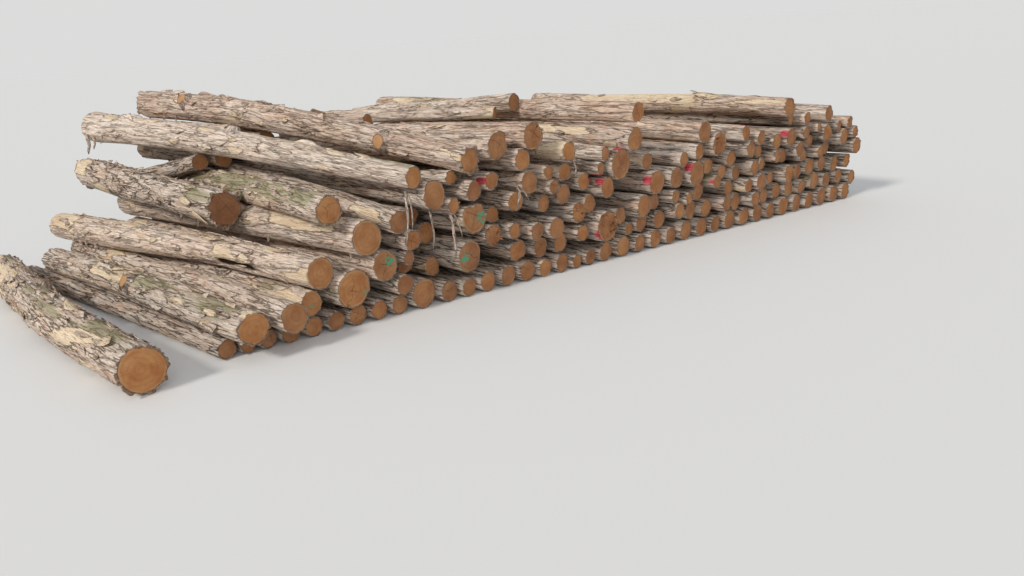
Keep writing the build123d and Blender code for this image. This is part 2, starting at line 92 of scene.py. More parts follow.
# How a node's logs look: how grey and how mossy their bark is, how much of it is
# gone, loose flakes on each log, how far torn bark stands past a sawn end in
# metres, and how dark the sawn ends are.  The greyer bark and darker ends of the
# logs in the heap's face below its top logs are partly painted shade
Look = namedtuple("Look", "grey mossy gone flakes rim brown")
LOOKS = {
    "spilled_log": (0.45, 0.40, 0.18, 130, 0.018, 0.00),
    "bare_patched_log": (0.55, 0.25, 0.12, 50, 0.016, 0.30),
    "lower_logs_left": (0.45, 0.15, 0.14, 26, 0.010, 0.45),
    "pale_ended_log": (0.05, 0.02, 0.24, 80, 0.008, 0.25),
    "middle_logs_left": (0.30, 0.10, 0.14, 20, 0.010, 0.50),
    "raised_logs_left": (0.10, 0.05, 0.22, 26, 0.010, 0.30),
    "jagged_bark_log": (0.70, 0.20, 0.16, 90, 0.032, 0.95),
    "mossy_log": (0.50, 0.60, 0.12, 50, 0.016, 0.60),
    "long_log": (0.05, 0.05, 0.24, 70, 0.010, 0.45),
    "knobbly_log": (0.20, 0.05, 0.20, 80, 0.022, 0.45),
    "twisted_log": (0.20, 0.05, 0.25, 30, 0.010, 0.60),
    "thin_log": (0.15, 0.02, 0.35, 16, 0.008, 0.60),
    "short_log": (0.20, 0.02, 0.20, 20, 0.010, 0.55),
    "smooth_log": (0.20, 0.02, 0.22, 16, 0.014, 0.60),
    "top_logs_middle": (0.25, 0.05, 0.20, 26, 0.014, 0.45),
    "top_logs_right": (0.20, 0.03, 0.20, 20, 0.010, 0.55),
    "upper_logs_middle": (0.45, 0.05, 0.18, 14, 0.014, 0.55),
    "upper_logs_right": (0.50, 0.05, 0.16, 10, 0.010, 0.62),
    "raised_logs_middle": (0.60, 0.08, 0.14, 10, 0.012, 0.60),
    "top_logs_far": (0.30, 0.05, 0.20, 8, 0.010, 0.60),
    "back_logs_high": (0.30, 0.05, 0.20, 8, 0.010, 0.55),
}
# Their grey of 0.75 and brown of 0.65 paint shade: darker grey bark and darker sawn ends for the logs
# inside the heap and low on its face
OTHERS = (0.75, 0.10, 0.10, 4, 0.010, 0.65)     # nodes inside the heap and low on its face

# Patches that show in the photograph: what, from and to along the log from its
# front end, from and to round it in radians, 0 at its right side and 1.6 on top
PATCHES = {
    "spilled_log": [("moss", 0.05, 0.60, 1.0, 2.2), ("bare", 0.72, 1.2, 1.6, 3.1)],
    "bare_patched_log": [("moss", 0.05, 0.50, 0.8, 2.6), ("bare", 0.56, 0.70, 1.9, 2.7)],
    "pale_ended_log": [
        ("bare", 0.88, 1.3, -0.3, 3.1), ("bare", 0.34, 0.52, 0.6, 1.5),
        ("hole", 0.17, 0.30, -3.2, -2.55),
    ],
    "jagged_bark_log": [("bare", 0.90, 1.3, 0.4, 3.1)],
    "mossy_log": [("moss", 0.10, 0.85, 0.9, 3.0)],
    "raised_logs_left": [("bare", 0.05, 0.30, 1.5, 2.9)],
    "smooth_log": [("bare", 0.30, 0.75, 0.6, 3.1)],
    "long_log": [("bare", 0.15, 0.24, 1.2, 2.2)],
}

# Large torn flaps: place along and round the log, length, half width, lift, and
# which way it lifts, 1 towards the back
FLAPS = {
    "pale_ended_log": [(0.27, 2.95, 0.26, 0.028, 0.030, 1), (0.20, 2.8, 0.20, 0.030, 0.022, -1)],
    "bare_patched_log": [(0.53, 2.5, 0.22, 0.030, 0.030, 1), (0.60, 1.8, 0.25, 0.025, 0.020, -1)],
    "jagged_bark_log": [
        (0.05, 3.5, 0.25, 0.035, 0.030, -1), (0.12, 2.9, 0.20, 0.030, 0.020, -1),
        (0.012, 1.30, 0.06, 0.010, 0.034, -1), (0.012, 1.05, 0.05, 0.012, 0.026, -1),
        (0.012, 0.62, 0.06, 0.011, 0.034, -1), (0.012, 0.35, 0.05, 0.010, 0.022, -1),
    ],
    "smooth_log": [(0.26, 2.2, 0.25, 0.035, 0.025, 1), (0.29, 1.3, 0.22, 0.030, 0.025, 1)],
    "spilled_log": [(0.08, 2.0, 0.16, 0.040, 0.022, -1), (0.35, 1.4, 0.20, 0.045, 0.022, 1)],
}

# Torn pieces of bark that curl up along one edge, on each log of a node
CURLS = {
    "jagged_bark_log": 42, "bare_patched_log": 26, "pale_ended_log": 22, "knobbly_log": 26,
    "spilled_log": 34, "mossy_log": 12, "long_log": 10, "raised_logs_left": 8,
}

# Random flakes and curls: ranges of their places along the log and round it, and of
# their lengths, widths (half widths of flakes) and lifts
FLAKE_PLACE = ((0.06, 0.94), (0.1, 3.6))
FLAKE_SIZE = ((0.05, 0.18), (0.007, 0.026), (0.002, 0.012))
CURL_PLACE = ((0.06, 0.94), (0.3, 3.3))
CURL_SIZE = ((0.06, 0.22), (0.018, 0.045), (0.008, 0.026))

# Torn strips that hang from a log's side: place along and round it, length, width
HANGING = {
    "long_log": [(0.985, 3.35, 0.17, 0.034), (0.965, 3.6, 0.10, 0.022), (0.93, 3.5, 0.06, 0.016)],
    "pale_ended_log": [
        (0.90, 3.6, 0.06, 0.020), (0.87, 3.7, 0.08, 0.026),
        (0.84, 3.6, 0.05, 0.018), (0.80, 3.7, 0.07, 0.022),
    ],
    "jagged_bark_log": [(0.10, 3.9, 0.06, 0.020), (0.20, 3.8, 0.05, 0.024)],
    "knobbly_log": [(0.86, 3.6, 0.09, 0.014), (0.90, 3.5, 0.06, 0.018)],
    "raised_logs_left": [(0.03, 4.0, 0.05, 0.018), (0.30, 3.7, 0.05, 0.020)],
}

# Sawn ends with wide drying cracks: place of their middle
CRACKED = [
    (0.74, 0.44), (1.70, 0.95), (1.29, 0.52), (1.18, 0.28),
    (0.70, 0.34), (1.52, 0.87), (0.45, 0.245), (2.39, 0.68),
]

# Seams where two stems grew together, which notch a sawn end: place of its middle,
# turn round it, half width in radians, depth
SEAMS = [
    (1.28, 0.52, 1.70, 0.40, 0.030), (1.28, 0.52, 0.30, 0.30, 0.010),
    (1.48, 0.93, -1.45, 0.36, 0.016), (1.48, 0.93, 0.15, 0.40, 0.010),
    (1.96, 0.70, -1.60, 0.40, 0.016), (1.57, 0.25, 1.90, 0.40, 0.015),
    (1.57, 0.25, -1.20, 0.40, 0.015), (1.01, 0.71, 2.6, 0.35, 0.010),
]

# Paint dabs on the sawn ends: place along the face and height, radius
GREEN = [
    (0.70, 0.36, 0.035), (0.52, 0.20, 0.022), (0.19, 0.20, 0.016), (1.33, 0.51, 0.040),
    (1.18, 0.28, 0.034),
]
# Paint on the bark beside a sawn end: place of the nearest point of its rim
RED = [
    (2.44, 0.80), (2.32, 0.82), (2.66, 0.53), (2.20, 0.22), (1.34, 0.74), (3.62, 0.77),
    (4.04, 0.68), (3.25, 0.42), (2.24, 0.60), (3.05, 0.56),
]

# Torn strips of bark that hang at the face: top and bottom, along the face and
# height, and width
STRIPS = [
    (0.83, 0.71, 0.79, 0.44, 0.016), (0.85, 0.69, 0.84, 0.53, 0.010),
    (0.99, 0.60, 0.96, 0.38, 0.014), (1.13, 0.58, 1.10, 0.29, 0.020),
    (1.15, 0.57, 1.16, 0.42, 0.010), (1.58, 0.68, 1.56, 0.51, 0.018),
    (1.62, 0.66, 1.66, 0.56, 0.012), (3.88, 0.52, 3.72, 0.40, 0.022),
    (2.05, 0.77, 2.02, 0.66, 0.012),
]

# Ends that broke instead of being sawn through: place of their middle, splinters
BROKEN = [(2.30, 0.26, 26), (1.36, 0.38, 10), (3.31, 0.69, 16), (2.09, 0.40, 8)]

# Rings of a sawn end, as shares of its wood's radius
END_RINGS = (0.12, 0.3, 0.5, 0.7, 0.86, 0.96, 1.0)

# Rings of a sawn-off branch, from the log out to the middle of its cut: share of
# the cut's radius, depth under the cut, the "sawn" value, and the share of the
# log's radius at which its grain lies
STUB_RINGS = (
    (1.75, 0.060, 0.0, 1.2), (1.25, 0.022, 0.0, 1.1), (1.06, 0.006, 0.0, 1.05),
    (1.0, -0.001, 0.4, 1.0), (0.93, 0.0005, 0.6, 0.95), (0.9, 0.0, 1.0, 0.9),
    (0.45, 0.0, 1.0, 0.45),
)
STUB_STEPS = 20
STUB_GAP = 0.25         # stubs lie further apart than this along a log
STUB_CUT = 0.012        # a stub's corners this near to its far end belong to its cut

# Paint lies within this distance of the front end, and red paint by the log whose
# rim lies within this distance of its place
PAINT_REACH = 0.12
RIM_NEAR = 0.035

# The "sawn" value of the free edge and the underside of a loose scale of bark: its
# fresh brown shows on curls, and flakes have weathered
WEATHERED_SCALE = (0.0, 0.0)
TORN_SCALE = (0.12, 0.30)

FACE_ORIGIN = Vector((-1.7329, -1.4481, 0.0))   # left end of the row of sawn ends
FACE_DEPTH = 0.3        # ends further back than this don't belong to the face


def smooth(low, high, x):
    """Rises from 0 at low to 1 at high along an S-shaped curve."""
    t = np.clip((x - low) / (high - low), 0.0, 1.0)
    return t * t * (3 - 2 * t)


def drawn(rng, ranges):
    """A random number from each range."""
    return [rng.uniform(low, high) for low, high in ranges]


def apart(angle, turn):
    """How far angles lie from turn round a circle, from 0 to half a circle."""
    return np.abs((angle - turn + math.pi) % CIRCLE - math.pi)


def hashed(i, j, k, seed):
    """A fixed pseudo-random number from 0 to 1 for each grid point i, j, k.

    The numbers are multiplied by large odd numbers and added up, and the sum's
    bits are mixed by shifts; its last 24 bits give the result.
    """
    n = i * 374761393 + j * 668265263 + k * 2147483647 + seed * 1274126177
    n = (n ^ (n >> 13)) * 1274126177
    n = n ^ (n >> 16)
    return (n & 0xFFFFFF) / float(0xFFFFFF)


def noise(points, seed):
    """Value noise from -1 to 1: random numbers on a unit grid, blended smoothly."""
    cell = np.floor(points).astype(np.int64)
    part = points - cell
    part = part * part * (3 - 2 * part)
    total = 0.0
    for dx in (0, 1):
        for dy in (0, 1):
            for dz in (0, 1):
                weight = np.abs(1 - dx - part[..., 0]) * np.abs(1 - dy - part[..., 1])
                weight = weight * np.abs(1 - dz - part[..., 2])
                corner = hashed(cell[..., 0] + dx, cell[..., 1] + dy, cell[..., 2] + dz, seed)
                total = total + weight * corner
    return 2 * total - 1


def islands(obj):
    """The separate solids of a node, each as an array of its corners."""
    mesh = obj.data
    spots = np.empty(len(mesh.vertices) * 3)
    mesh.vertices.foreach_get("co", spots)
    spots = spots.reshape(-1, 3) @ np.array(obj.matrix_world.to_3x3()).T
    spots = spots + np.array(obj.matrix_world.translation)
    keys = np.round(spots * WELD).astype(np.int64)
    unique, back = np.unique(keys, axis=0, return_inverse=True)
    back = back.reshape(-1)
    mesh.calc_loop_triangles()
    faces = np.empty(len(mesh.loop_triangles) * 3, np.int32)
    mesh.loop_triangles.foreach_get("vertices", faces)
    faces = back[faces.reshape(-1, 3)]
    label = np.arange(len(unique))
    while True:
        least = label[faces].min(axis=1)
        new = label.copy()
        for column in range(3):
            np.minimum.at(new, faces[:, column], least)
        if (new == label).all():
            break
        label = new
    return [unique[label == one] / WELD for one in np.unique(label)]


def planes(along, gap):
    """Numbers sorted into groups that lie further apart than the gap, as indices."""
    order = np.argsort(along)
    return np.split(order, np.nonzero(np.diff(along[order]) > gap)[0] + 1)


def sections(corners):
    """Directions along and across one log, its sections, and its stubs' corners.

    A log's corners lie in upright planes across it; they are sorted into those
    planes, and each plane gives a middle and the corners round it by angle.  The
    corners that lie in no such plane belong to stubs.
    """
    flat = corners[:, :2] - corners[:, :2].mean(axis=0)
    ahead = np.linalg.svd(flat, full_matrices=False)[2][0]
    if ahead[1] < 0:
        ahead = -ahead
    groups = planes(corners[:, :2] @ ahead, COARSE_GAP)
    first = corners[groups[0]].mean(axis=0)
    last = corners[groups[-1]].mean(axis=0)
    ahead = (last - first)[:2] / np.linalg.norm((last - first)[:2])
    aside = np.array([ahead[1], -ahead[0]])
    groups = planes(corners[:, :2] @ ahead, SECTION_GAP)
    loose = [group for group in groups if len(group) < SECTION_CORNERS]
    stubs = corners[np.concatenate(loose)] if loose else np.zeros((0, 3))
    rings = []
    for group in groups:
        if len(group) < SECTION_CORNERS:
            continue
        ring = corners[group]
        middle = (ring.max(axis=0) + ring.min(axis=0)) / 2
        side = (ring[:, :2] - middle[:2]) @ aside
        up = ring[:, 2] - middle[2]
        angle = np.arctan2(up, side)
        turn = np.argsort(angle)
        rings.append((middle, angle[turn], np.hypot(side, up)[turn]))
    return ahead, aside, rings, stubs


def radius_at(ring, angle):
    """Radius of a section's outline at each angle, on the straight line between corners."""
    corner_angle, corner_radius = ring[1:]
    a = np.concatenate([corner_angle[-1:] - CIRCLE, corner_angle, corner_angle[:1] + CIRCLE])
    r = np.concatenate([corner_radius[-1:], corner_radius, corner_radius[:1]])
    x, y = r * np.cos(a), r * np.sin(a)
    i = np.clip(np.searchsorted(a, angle) - 1, 0, len(a) - 2)
    cross = x[i] * y[i + 1] - x[i + 1] * y[i]
    return cross / ((y[i + 1] - y[i]) * np.cos(angle) - (x[i + 1] - x[i]) * np.sin(angle))


def between(x, known, table):
    """Each column of a table at the places x, on straight lines between known ones."""
    return np.stack([np.interp(x, known, column) for column in table.T], axis=-1)


class Skin:
    """Grid of points over one log, from the middle of one sawn end to the other."""

    def __init__(self, corners, detail, seed, node):
        self.ahead, self.aside, self.rings, self.stubs = sections(corners)
        self.seed = seed
        self.look = Look(*LOOKS.get(node, OTHERS))
        self.patches = PATCHES.get(node, [])
        spans, steps = detail
        self.steps = steps
        self.angle = CIRCLE * np.arange(steps) / steps - math.pi
        middles = np.array([ring[0] for ring in self.rings])
        reach = np.linalg.norm(middles[:, :2] - middles[0, :2], axis=1)
        self.length = np.linalg.norm(middles[-1] - middles[0])
        outline = np.array([radius_at(ring, self.angle) for ring in self.rings])
        share = reach / reach[-1]
        even = np.linspace(0, 1, spans)
        crowded = (1 - np.cos(math.pi * even)) / 2
        self.t = 0.6 * even + 0.4 * crowded         # stations crowd a little at the ends
        self.middle = between(self.t, share, middles)
        self.radius = between(self.t, share, outline)
        self.mean = self.radius.mean()
        self.flat = np.array([self.ahead[0], self.ahead[1], 0.0])
        self.side = np.array([self.aside[0], self.aside[1], 0.0])
        self.wrap = np.stack([np.cos(self.angle), np.sin(self.angle)], axis=1)
        self.ray = self.wrap[:, :1] * self.side + self.wrap[:, 1:] * UP
        self.broken = 0.0
        self.cracked = 0.0
        self.bark = BARK * (1 + 90 * max(0.0, self.look.rim - LONG_TEETH))
        self.cover()

    def cover(self):
        """Where bark is gone or mossy, and the outline's radius after that.

        The radius is that of the log's section, less the depth of the furrows,
        or less the thickness of the bark where the bark is gone.
        """
        seed = self.seed
        spans, steps = self.radius.shape
        field = np.zeros((spans, steps, 3))
        field[..., :2] = self.mean * self.wrap
        field[..., 2] = self.t[:, None] * self.length
        wide = 1 - np.abs(noise(field * WIDE_FURROWS + seed, seed))
        narrow = 1 - np.abs(noise(field * NARROW_FURROWS + seed, seed + 1))
        lump = noise(field * LUMPS + seed, seed + 2)
        raised = smooth(-0.25, 0.3, noise(field * PLATES + seed, seed + 3))
        torn = noise(field * TEARS + 3.3 * seed, seed + 7)
        torn = torn + 0.45 * noise(field * TEAR_EDGES + seed, seed + 8)
        bare = smooth(0.0, 0.16, torn + 1.6 * self.look.gone - 0.85)
        damp = noise(field * DAMPNESS + 1.7 * seed, seed + 9)
        moss = smooth(0.0, 0.5, damp + 1.5 * self.look.mossy - 0.6)
        rough = 0.22 * torn
        hole = 0 * bare
        run = self.t[:, None]
        for kind, start, stop, low, high in self.patches:
            here = smooth(start - 0.03, start + 0.03, run + 0.1 * rough)
            here = here * smooth(-stop - 0.03, -stop + 0.03, -run + 0.1 * rough)
            here = here * smooth(low - 0.2, low + 0.2, self.angle + rough)
            here = here * smooth(-high - 0.2, -high + 0.2, -self.angle + rough)
            if kind == "bare":
                bare = np.maximum(bare, here)
            if kind == "moss":
                moss = np.maximum(moss, here * smooth(-0.9, 0.1, damp + torn))
            if kind == "hole":
                hole = np.maximum(hole, here)
        self.bare, self.moss, self.hole = bare * (1 - hole), moss * (1 - bare) * (1 - hole), hole
        depth = FURROW * (0.7 + 1.1 * self.look.grey) * (1.1 - 0.8 * wide ** 2 - 0.3 * narrow)
        depth = depth * (0.4 + 0.6 * raised) * (1 - bare) + BARK * bare
        bark_radius = self.radius * 1.014 - depth + 0.5 * SHAG * (lump - 0.5)
        bark_radius = bark_radius - HOLLOW * hole
        self.body = bark_radius + RIPPLE * bare * noise(field * RIPPLES + seed, seed + 6)

    def seam(self, turn, half, depth):
        """A groove along the front part of the log: a bell curve of the angle from turn."""
        bell = np.exp(-(apart(self.angle, turn) / half) ** 2)
        self.body = self.body - depth * bell * smooth(-0.7, -0.1, -self.t)[:, None]

    def build(self):
        """Points, faces and per-point values of the whole closed skin.

        Rings of points run from the middle of the front end over its wood and
        the lip of its bark, along the log and over the other end to its middle.
        The bark stops a little before or past the sawn ends in uneven teeth.
        """
        seed, steps, spans = self.seed, self.steps, len(self.t)
        wheel = np.concatenate([self.wrap, 0 * self.wrap[:, :1]], axis=1)
        tooth = noise(wheel * 3 + seed, seed + 4)
        small = noise(wheel * 5.5 + seed, seed + 5)
        lip = self.look.rim * np.clip(0.25 + 0.7 * tooth + 0.6 * small, -0.4, 1.0)
        spiky = noise(wheel * 7.5 + seed, seed + 12)
        ragged = self.look.rim * (smooth(-0.20, 0.40, spiky + 0.3 * small) - 0.30)
        ragged = ragged * smooth(LONG_TEETH, 0.02, self.look.rim)
        dish = RIPPLE * noise(wheel * 2 + seed, seed + 6)
        rows = []

        def row(i, radius, shift, kind):
            """One ring round the log at station i, moved along it by shift, not below ground."""
            place = self.middle[i] + np.asarray(shift)[..., None] * self.flat
            place = place + radius[:, None] * self.ray
            place[:, 2] = np.maximum(place[:, 2], 0.0)
            own = (np.full(steps, kind), radius / self.radius[i], np.full(steps, self.t[i]))
            green, red = self.painted(place, kind, i)
            rows.append((place, *own, self.bare[i], self.moss[i], self.hole[i], green, red))

        def end(i, out):
            """Rings of a sawn end, from its middle out to the bark's lip."""
            barked = lip * (1 - self.bare[i])
            bark = self.bark * (1 - self.bare[i])
            wood = self.body[i] - bark - RIM_STEP
            rings = []
            for share in END_RINGS:
                broken = self.broken * noise(wheel * share * 4 + seed, seed + 11) * (out < 0)
                rings.append((wood * share, (dish * share + broken) * out, 1.0))
            rings.append((wood + RIM_STEP, barked * 0.3 * out, 0.6))
            rings.append((wood + RIM_STEP + 0.3 * bark + 0.4 * ragged, barked * out, 0.5))
            rings.append((self.body[i] - 0.25 * bark + ragged, barked * 0.9 * out, 0.4))
            return rings

        for radius, shift, kind in end(0, -1.0):
            row(0, radius, shift, kind)
        for i in range(spans):
            shift = 0.0
            if i == 0:
                shift = -lip * 0.4 * (1 - self.bare[0])
            if i == spans - 1:
                shift = lip * 0.4 * (1 - self.bare[-1])
            past = ragged if i in (0, spans - 1) else 0.0
            row(i, self.body[i] + past, shift, 0.0)
        for radius, shift, kind in reversed(end(spans - 1, 1.0)):
            row(spans - 1, radius, shift, kind)
        count = len(rows)
        heart = self.painted(self.middle[:1], 1.0, 0)[0][0]
        # The middles of the two ends, with the values in the order that row() keeps
        rows.append((self.middle[:1], [1.0], [0.0], [0.0], [0.0], [0.0], [0.0], [heart], [0.0]))
        rows.append((self.middle[-1:], [1.0], [0.0], [1.0], [0.0], [0.0], [0.0], [0.0], [0.0]))
        joint = [np.concatenate(column) for column in zip(*rows)]
        points, kind, share, run, bare, moss, hole, green, red = joint
        angle = np.append(np.tile(self.angle, count), [0.0, 0.0])
        front = fan(0, steps, count * steps, -1)
        back = fan((count - 1) * steps, steps, count * steps + 1, 1)
        values = self.values(kind, share, run, bare, moss, angle)
        values.update(hole=hole, green=green, red=red)
        return points, (tube(count, steps), np.concatenate([front, back])), values

    def painted(self, place, kind, i):
        """How far points of station i lie inside the dabs of green and red paint, 0 to 1.

        Green falls off with the distance from the dab's middle on sawn wood, and
        red with the angle from its place on bark.
        """
        green, red = np.zeros(len(place)), np.zeros(len(place))
        if i * self.length > PAINT_REACH * len(self.t):
            return green, red
        front = self.middle[0] - np.array(FACE_ORIGIN)
        for x, z, radius in GREEN:
            if kind > WOOD and math.hypot(front[0] - x, front[2] - z) < self.mean:
                away = np.hypot(place[:, 0] - FACE_ORIGIN[0] - x, place[:, 2] - z)
                green = np.maximum(green, np.clip(1.0 - 0.6 * away / radius, 0.0, 1.0))
        for x, z in RED:
            out = math.hypot(front[0] - x, front[2] - z)
            if abs(out - self.mean) < RIM_NEAR and kind < WOOD:
                turn = math.atan2(z - front[2], x - front[0])
                red = np.maximum(red, np.clip(1.6 - apart(self.angle, turn) / 0.35, 0.0, 1.0))
        return green, red

    def values(self, kind, share, run, bare, moss, angle):
        """The numbers that the materials read at each point.

        The grain is the point's place in a straight round log: across it twice,
        at its share of the mean radius, and along it.
        """
        across, along = share * self.mean, run * self.length
        one = np.ones(len(kind))
        return {
            "sawn": kind, "reach": share, "bare": bare, "moss": moss,
            "grain": np.stack([np.cos(angle) * across, np.sin(angle) * across, along], axis=1),
            "hole": 0 * one, "green": 0 * one, "red": 0 * one, "cracked": one * self.cracked,
            "number": one * self.seed, "grey": one * self.look.grey, "brown": one * self.look.brown,
        }

    def place(self, run, turn, lift):
        """Points at shares along the log, angles round it and heights above it."""
        inside = np.clip(run, 0.0, 1.0)
        row = np.clip(np.searchsorted(self.t, inside), 0, len(self.t) - 1)
        column = np.round((turn + math.pi) / CIRCLE * self.steps).astype(int) % self.steps
        radius = self.body[row, column] + lift
        across = np.cos(turn)[..., None] * self.side
        across[..., 2] += np.sin(turn)
        past = ((run - inside) * self.length)[..., None] * self.flat
        return between(inside, self.t, self.middle) + past + radius[..., None] * across

    def flakes(self, flaps, curls):
        """Loose flakes and curls of bark at chosen and at random places."""
        rng = np.random.default_rng(900 + int(self.seed))
        found = [self.flake(rng, *flap, 0.8) for flap in flaps]
        for _ in range(self.look.flakes):
            place, size = drawn(rng, FLAKE_PLACE), drawn(rng, FLAKE_SIZE)
            way, shade = rng.choice([-1.0, 1.0]), rng.choice([0.0, 0.0, 0.0, 0.7])
            found.append(self.flake(rng, *place, *size, way, shade))
        return found + [self.curl(rng) for _ in range(curls)]

    def flake(self, rng, run, turn, long, wide, lift, way, shade):
        """A thin curved plate along the log, fast at one end and lifted at the other.

        Its height grows with the 1.6th power of the way from the fast end, and a
        little with the square of the distance from its middle line.
        """
        u = np.linspace(0.0, 1.0, 5)[:, None]
        v = np.linspace(-1.0, 1.0, 3)[None, :]
        narrow = np.interp(u, [0.0, 0.2, 0.6, 1.0], [0.3, 1.0, 0.8, rng.uniform(0.05, 0.4)])
        angle = turn + (v * narrow + rng.uniform(-0.5, 0.5) * u) * wide / self.mean
        along = run + way * (u - 0.5) * long / self.length + 0 * v
        height = lift * u ** 1.6 + 0.25 * lift * v ** 2
        return self.scale(along, angle, height, u, way < 0, WEATHERED_SCALE, shade)

    def scale(self, along, angle, height, free, mirrored, torn, bare):
        """A closed plate at a height above the log, thicker where it is fast to it.

        free runs from 0 where it is fast to 1 at its free edge, and torn gives the
        "sawn" value of that edge and of the underside.  A mirrored plate's grids
        are turned round across, so that it faces outwards.
        """
        top = self.place(along, angle, height + FLAKE)
        under = self.place(along, angle, height - FLAKE - ROOT * (1 - free))
        grids = [top, under, angle, along, free + 0 * along]
        if mirrored:
            grids = [grid[:, ::-1] for grid in grids]
        points, faces = plate(*grids[:2])
        angle, along, free = (grid.ravel() for grid in grids[2:])
        inner = np.concatenate([torn[0] * free, torn[1] + 0 * free])
        off = np.zeros(len(points))
        turns, runs = np.tile(angle, 2), np.tile(along, 2)
        return points, faces, self.values(inner, off + 1.0, runs, off + bare, off, turns)

    def curl(self, rng):
        """A torn piece of bark, fast along one long edge and curled up along the other.

        Its height grows with the 1.5th power of the way from the fast edge, and
        its width falls to nothing at both ends along a rounded curve.
        """
        run, turn = drawn(rng, CURL_PLACE)
        side = rng.choice([-1.0, 1.0])
        long, wide, lift = drawn(rng, CURL_SIZE)
        u = np.linspace(-1.0, 1.0, 6)[:, None]
        v = np.linspace(0.0, 1.0, 4)[None, :]
        narrow = np.sqrt(np.clip(1 - np.abs(u) ** 3, 0.03, 1.0)) * (1 + 0.2 * np.sin(5 * u + turn))
        angle = turn + (side * v * narrow + rng.uniform(-0.5, 0.5) * u) * wide / self.mean
        along = run + 0.5 * u * long / self.length + 0 * v
        height = lift * v ** 1.5 * narrow
        return self.scale(along, angle, height, v, side < 0, TORN_SCALE, 0.0)

    def face_strip(self, x, z, to_x, to_z, width):
        """A torn ribbon of bark that hangs from the lower rim of the front end."""
        front = self.middle[0]
        way = np.array([x + FACE_ORIGIN[0], front[1], z]) - front
        start = front + way / np.linalg.norm(way) * (self.mean - 0.008) + self.flat * 0.02
        return self.strip(start, np.array([to_x + FACE_ORIGIN[0], start[1] - 0.06, to_z]), width)

    def side_strip(self, run, turn, long, width):
        """A torn ribbon of bark that hangs from the log's side."""
        start = self.place(np.array([run]), np.array([turn]), -0.006)[0]
        return self.strip(start, start + np.array([-0.02, -0.015, -long]), width)

    def strip(self, start, stop, width):
        """A thin ribbon from start to stop, narrowing to a torn tip.

        It sways along the face by a sine and bows out of it by a parabola.
        """
        u = np.linspace(0.0, 1.0, 8)[:, None]
        v = np.linspace(-1.0, 1.0, 3)[None, :]
        wave = 0.12 * width * np.sin(9 * u + self.seed) + 0.5 * width * (u - u * u)
        place = start + u[..., None] * (stop - start)
        place = place + wave[..., None] * np.array([1.0, 0.0, 0.0])
        place[..., 1] -= 0.10 * (u - u * u)
        half = 0.5 * width * np.interp(u, [0.0, 0.3, 0.9, 1.0], [1.0, 0.85, 0.55, 0.1])
        across = np.array([0.95, -0.3, 0.0])
        sheet = place + (v * half)[..., None] * across
        thick = np.array([0.0, FLAKE, 0.0])
        points, faces = plate(sheet - thick, sheet + thick)
        off = np.zeros(len(points))
        runs = np.tile((0.4 * u + 0 * v).ravel(), 2)
        turns = np.tile((0 * u + 0.2 * v).ravel(), 2)
        return points, faces, self.values(off, off + 1.0, runs, off + 0.3, off, turns)

    def splinters(self, count):
        """Four-sided splinters that stand out of a front end that broke off.

        Each is a pyramid on a small oblong base, spread evenly over the end.
        """
        rng = np.random.default_rng(500 + int(self.seed))
        oblong = np.array([[1, 0.6], [-1, 0.6], [-1, -0.6], [1, -0.6]])
        base_face = np.array([[3, 2, 1, 0]])
        sides = np.array([[0, 1, 4], [1, 2, 4], [2, 3, 4], [3, 0, 4]])
        found = []
        for _ in range(count):
            out = self.mean * math.sqrt(rng.uniform(0.1, 0.8))
            turn = rng.uniform(-math.pi, math.pi)
            corner = oblong * rng.uniform(0.004, 0.011)
            middle = self.middle[0] + out * (math.cos(turn) * self.side + math.sin(turn) * UP)
            base = middle + corner[:, :1] * self.side + corner[:, 1:] * UP + 0.006 * self.flat
            tip = middle - rng.uniform(0.010, 0.035) * self.flat + rng.normal(0.0, 0.005, 3)
            off = np.zeros(5)
            values = self.values(off + 1.0, off + out / self.mean, off, off + 1.0, off, off + turn)
            found.append((np.concatenate([base, tip[None]]), (base_face, sides), values))
        return found

    def stub_pieces(self):
        """Sawn-off branches at the places that the log's extra corners give.

        Each is a tube of uneven rings that widens into the log and is closed by
        its cut; the outermost corners give the cut's middle and radius.
        """
        if len(self.stubs) == 0:
            return []
        along = self.stubs[:, :2] @ self.ahead
        start = self.middle[0][:2] @ self.ahead
        found = []
        for group in planes(along, STUB_GAP):
            corners = self.stubs[group]
            run = (along[group].mean() - start) / ((self.middle[-1][:2] @ self.ahead) - start)
            axis = between(run, self.t, self.middle)
            off = corners - axis
            off = off - (off @ self.flat)[:, None] * self.flat
            out = np.linalg.norm(off, axis=1)
            cap = corners[out > out.max() - STUB_CUT]
            middle = cap.mean(axis=0)
            way = middle - axis
            way = way / np.linalg.norm(way)
            other = np.cross(way, self.flat)
            other = other / np.linalg.norm(other)
            third = np.cross(way, other)
            width = np.linalg.norm(cap - middle, axis=1).mean()
            turn = CIRCLE * np.arange(STUB_STEPS) / STUB_STEPS
            uneven = 1 + 0.05 * np.sin(3 * turn + self.seed) + 0.04 * np.sin(5 * turn)
            rays = np.cos(turn)[:, None] * other + np.sin(turn)[:, None] * third
            radius, depth, kind, share = np.array(STUB_RINGS).T
            rings = [
                middle - deep * way + (wide * width * uneven)[:, None] * rays
                for wide, deep in zip(radius, depth)
            ]
            points = np.concatenate(rings + [middle[None], (middle - depth[0] * way)[None]])
            last = len(points) - 1
            tris = np.concatenate([
                fan(last - 1 - STUB_STEPS, STUB_STEPS, last - 1, 1), fan(0, STUB_STEPS, last, -1),
            ])
            kind = np.append(np.repeat(kind, STUB_STEPS), [1.0, 0.0])
            share = np.append(np.repeat(share, STUB_STEPS), [0.0, 1.0])
            turns = np.append(np.tile(turn, len(rings)), [0.0, 0.0])
            none = np.zeros(len(points))
            values = self.values(kind, share, none + run, none, none, turns)
            values.update(brown=none, reach=none + 1.0)
            found.append((points, (tube(len(rings), STUB_STEPS), tris), values))
        return found


